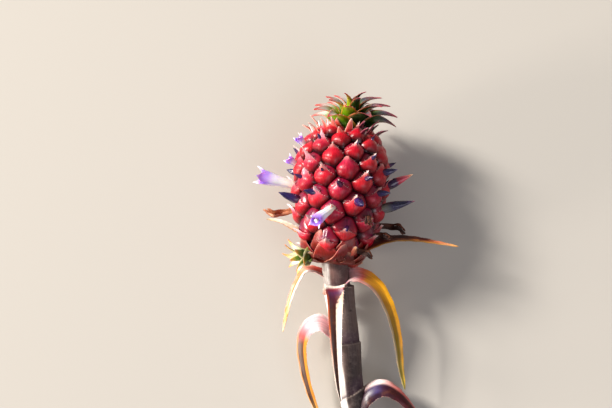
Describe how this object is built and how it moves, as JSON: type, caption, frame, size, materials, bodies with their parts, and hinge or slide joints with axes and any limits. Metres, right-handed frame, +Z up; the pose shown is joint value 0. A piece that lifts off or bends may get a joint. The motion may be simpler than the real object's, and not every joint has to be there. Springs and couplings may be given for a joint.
{
  "type": "cut pineapple flower stem",
  "caption": "Cut flowering stem of a small ornamental pineapple, lying on its side: stalk with curved leaves, young fruit in flower and a leafy crown.",
  "frame": {"origin": "middle of the bounding box, on the floor that the stem lies on", "axes": "+Y along the stem from its cut end toward the crown, +Z up from the floor, +X to the right seen from above with the crown up"},
  "size_m": [0.0778, 0.1343, 0.0407],
  "materials": {
    "fruit_skin": "waxy crimson and coral skin",
    "green_leaf": "waxy green, coral toward the tips",
    "stalk_skin": "mealy grey-brown bloom",
    "pale_leaf": "satin golden to pale pink, toothed",
    "maroon_leaf": "satin maroon, toothed",
    "bract": "dry red-brown, toothed",
    "cream_bract": "dry cream",
    "corolla": "satin lilac and white",
    "bud": "waxy violet",
    "withered": "dry brown"
  },
  "bodies": {
    "root": {"bract_left": "cream_bract", "bract_right": "bract", "crown": "green_leaf", "flower_bud_1": "bud", "flower_bud_2": "bud", "flower_bud_3": "bud", "flower_bud_4": "bud", "flower_bud_5": "bud", "flower_bud_6": "bud", "flower_long_1": "bud", "flower_long_2": "bud", "flower_open_1": "corolla", "flower_open_2": "corolla", "flower_open_3": "corolla", "flower_open_4": "corolla", "flower_withered_1": "withered", "flower_withered_2": "withered", "flower_withered_3": "withered", "flower_withered_4": "withered", "flower_withered_5": "withered", "fruit": "fruit_skin", "leaf_back": "pale_leaf", "leaf_front": "maroon_leaf", "leaf_lower_left_a": "pale_leaf", "leaf_lower_left_b": "pale_leaf", "leaf_lower_right_a": "maroon_leaf", "leaf_lower_right_b": "maroon_leaf", "leaf_right_a": "pale_leaf", "leaf_right_b": "pale_leaf", "leaf_upper_left": "pale_leaf", "slip": "green_leaf", "stalk": "stalk_skin"}
  },
  "joints": []
}
